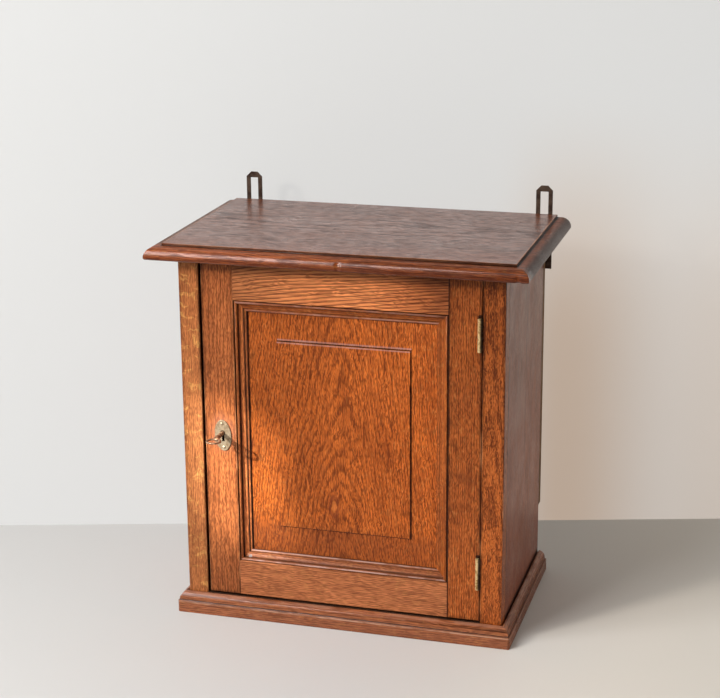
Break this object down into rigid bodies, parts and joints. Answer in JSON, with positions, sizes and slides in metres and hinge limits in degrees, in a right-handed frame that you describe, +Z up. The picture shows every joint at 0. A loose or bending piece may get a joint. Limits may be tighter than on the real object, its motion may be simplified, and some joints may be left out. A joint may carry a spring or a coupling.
{
  "type": "wall cabinet",
  "caption": "Small oak wall cabinet with moulded top and plinth, a panelled door on butt hinges, a key lock with oval keyhole plate, an inner shelf and slotted iron hanging plates.",
  "frame": {"origin": "on the floor plane, under the middle of the whole cabinet with its key and hanging plates", "axes": "+X to the right of a person facing the door, +Y back to the wall, +Z up"},
  "size_m": [0.463, 0.295, 0.513],
  "materials": {
    "oak": "waxed, satin",
    "plain_oak": "unpolished",
    "brass": "aged",
    "iron": "browned with rust",
    "steel": "browned"
  },
  "bodies": {
    "cabinet": {"top_board": "oak", "left_side": "oak", "right_side": "oak", "bottom_board": "plain_oak", "bottom_front_rail": "plain_oak", "left_face_stile": "oak", "right_face_stile": "oak", "top_front_rail": "plain_oak", "top_rear_rail": "plain_oak", "lower_back_rail": "plain_oak", "plinth_front": "oak", "plinth_left": "oak", "plinth_right": "oak", "back_board_left": "plain_oak", "back_board_middle": "plain_oak", "back_board_right": "plain_oak", "shelf": "plain_oak", "shelf_cleat_left": "plain_oak", "shelf_cleat_right": "plain_oak", "upper_hinge_frame_leaf": "brass", "lower_hinge_frame_leaf": "brass", "upper_hinge_pin": "brass", "lower_hinge_pin": "brass", "hinge_frame_screws": "brass", "hanging_plate_left": "iron", "hanging_plate_right": "iron", "hanging_plate_screws": "iron", "top_board_screws": "iron", "back_nails": "iron", "shelf_cleat_screws": "iron"},
    "door": {"door_lock_stile": "oak", "door_hinge_stile": "oak", "door_top_rail": "oak", "door_bottom_rail": "oak", "door_panel": "oak", "panel_moulding_top": "oak", "panel_moulding_bottom": "oak", "panel_moulding_left": "oak", "panel_moulding_right": "oak", "upper_hinge_door_leaf": "brass", "lower_hinge_door_leaf": "brass", "hinge_door_screws": "brass", "lock_plate": "iron", "lock_case": "iron", "lock_post": "iron", "lock_spring": "iron", "lock_screws": "iron", "escutcheon": "brass", "escutcheon_pins": "brass"},
    "key": {"key": "steel"},
    "bolt": {"lock_bolt": "brass"}
  },
  "joints": [
    {"name": "door_swing", "type": "hinge", "parent": "cabinet", "child": "door", "pos_m": [0.1699, -0.1062, 0.24], "axis": [0, 0, 1], "range_deg": [0, 175]},
    {"name": "key_turn", "type": "hinge", "parent": "door", "child": "key", "pos_m": [-0.1488, -0.105, 0.24], "axis": [0, -1, 0], "range_deg": [-90, 270]},
    {"name": "bolt_throw", "type": "slide", "parent": "door", "child": "bolt", "axis": [-1, 0, 0], "range_m": [-0.0023, 0.0068]}
  ],
  "couplings": [
    {"joint": "bolt_throw", "follows": "key_turn", "m_per_rad": 0.0014324}
  ]
}
